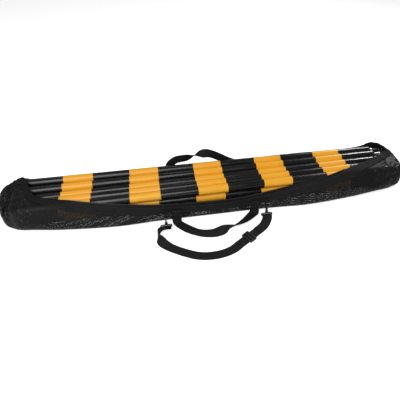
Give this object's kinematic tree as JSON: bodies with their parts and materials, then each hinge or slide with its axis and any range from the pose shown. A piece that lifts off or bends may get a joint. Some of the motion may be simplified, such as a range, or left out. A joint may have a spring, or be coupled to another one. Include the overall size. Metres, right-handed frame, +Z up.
{
  "type": "weave poles",
  "caption": "Black and yellow dog agility weave poles with steel ground spikes, lying in an open net carry bag with a zip, webbing handles and a shoulder strap.",
  "frame": {"origin": "on the floor, at the middle of the flat floor of the net bag", "axes": "+X along the poles towards their spikes, +Y to the rear handle, +Z up through the open mouth of the bag"},
  "size_m": [1.1492, 0.3097, 0.0973],
  "materials": {
    "tube_black": "gloss",
    "film_yellow": "gloss",
    "moulded_black": "satin",
    "spike_steel": "zinc plated",
    "net_black": "open knitted net",
    "hem_black": "woven",
    "webbing_black": "ribbed webbing",
    "zip_black": "nylon coil",
    "hardware_black": "black coated"
  },
  "bodies": {
    "bag": {"net_body": "net_black", "net_end_left": "net_black", "net_end_right": "net_black", "rear_hem": "hem_black", "front_hem": "hem_black", "rear_zip_half": "zip_black", "front_zip_half": "zip_black", "zip_closed_end": "zip_black", "front_webbing_legs": "webbing_black", "rear_webbing_legs": "webbing_black", "ring_tabs": "webbing_black"},
    "bottom_row": {"pole_bottom_1_tube": "tube_black", "pole_bottom_2_tube": "tube_black", "pole_bottom_3_tube": "tube_black", "bottom_row_bands": "film_yellow", "bottom_row_cap": "moulded_black", "bottom_row_plug": "moulded_black", "bottom_row_spike": "spike_steel"},
    "middle_row": {"pole_middle_1_tube": "tube_black", "pole_middle_2_tube": "tube_black", "pole_middle_3_tube": "tube_black", "pole_middle_4_tube": "tube_black", "middle_row_bands": "film_yellow", "middle_row_cap": "moulded_black", "middle_row_plug": "moulded_black", "middle_row_spike": "spike_steel"},
    "pole_a": {"pole_a_tube": "tube_black", "pole_a_bands": "film_yellow", "pole_a_cap": "moulded_black", "pole_a_plug": "moulded_black", "pole_a_spike": "spike_steel"},
    "pole_b": {"pole_b_tube": "tube_black", "pole_b_bands": "film_yellow", "pole_b_cap": "moulded_black", "pole_b_plug": "moulded_black", "pole_b_spike": "spike_steel"},
    "pole_c": {"pole_c_tube": "tube_black", "pole_c_bands": "film_yellow", "pole_c_cap": "moulded_black", "pole_c_plug": "moulded_black", "pole_c_spike": "spike_steel"},
    "pole_d": {"pole_d_tube": "tube_black", "pole_d_bands": "film_yellow", "pole_d_cap": "moulded_black", "pole_d_plug": "moulded_black", "pole_d_spike": "spike_steel"},
    "pole_e": {"pole_e_tube": "tube_black", "pole_e_bands": "film_yellow", "pole_e_cap": "moulded_black", "pole_e_plug": "moulded_black", "pole_e_spike": "spike_steel"},
    "zip_slider_body": {"zip_slider": "hardware_black"},
    "zip_pull_body": {"zip_pull": "hardware_black"},
    "front_loop": {"front_handle": "webbing_black"},
    "rear_loop": {"rear_handle": "webbing_black"},
    "carry_strap": {"shoulder_strap": "webbing_black", "snap_hooks": "hardware_black", "d_rings": "hardware_black"},
    "strap_adjuster": {"strap_slider": "moulded_black"}
  },
  "joints": [
    {"name": "lift_bottom_row", "type": "slide", "parent": "bag", "child": "bottom_row", "axis": [0, 0, 1], "range_m": [0, 0.15]},
    {"name": "lift_middle_row", "type": "slide", "parent": "bottom_row", "child": "middle_row", "axis": [0, 0, 1], "range_m": [0, 0.15]},
    {"name": "lift_pole_a", "type": "slide", "parent": "middle_row", "child": "pole_a", "axis": [0, 0, 1], "range_m": [0, 0.15]},
    {"name": "lift_pole_b", "type": "slide", "parent": "middle_row", "child": "pole_b", "axis": [0, 0, 1], "range_m": [0, 0.15]},
    {"name": "lift_pole_c", "type": "slide", "parent": "middle_row", "child": "pole_c", "axis": [0, 0, 1], "range_m": [0, 0.15]},
    {"name": "lift_pole_d", "type": "slide", "parent": "middle_row", "child": "pole_d", "axis": [0, 0, 1], "range_m": [0, 0.15]},
    {"name": "lift_pole_e", "type": "slide", "parent": "middle_row", "child": "pole_e", "axis": [0, 0, 1], "range_m": [0, 0.15]},
    {"name": "zip_travel", "type": "slide", "parent": "bag", "child": "zip_slider_body", "axis": [0, 0, -1], "range_m": [0, 0.012]},
    {"name": "zip_pull_swing", "type": "hinge", "parent": "zip_slider_body", "child": "zip_pull_body", "pos_m": [0.5812, 0.011, 0.0375], "axis": [0, -1, 0], "range_deg": [0, 150]},
    {"name": "front_handle_swing", "type": "hinge", "parent": "bag", "child": "front_loop", "pos_m": [0, -0.1013, 0.0168], "axis": [-1, 0, 0], "range_deg": [0, 95]},
    {"name": "rear_handle_fold", "type": "hinge", "parent": "bag", "child": "rear_loop", "pos_m": [0, 0.0743, 0.0312], "axis": [-1, 0, 0], "range_deg": [0, 95]},
    {"name": "strap_swing", "type": "hinge", "parent": "bag", "child": "carry_strap", "pos_m": [0, -0.10335, 0.036], "axis": [-1, 0, 0], "range_deg": [0, 100]},
    {"name": "strap_adjust", "type": "slide", "parent": "carry_strap", "child": "strap_adjuster", "axis": [0.8371, 0.547, 0], "range_m": [-0.015, 0.015]}
  ]
}
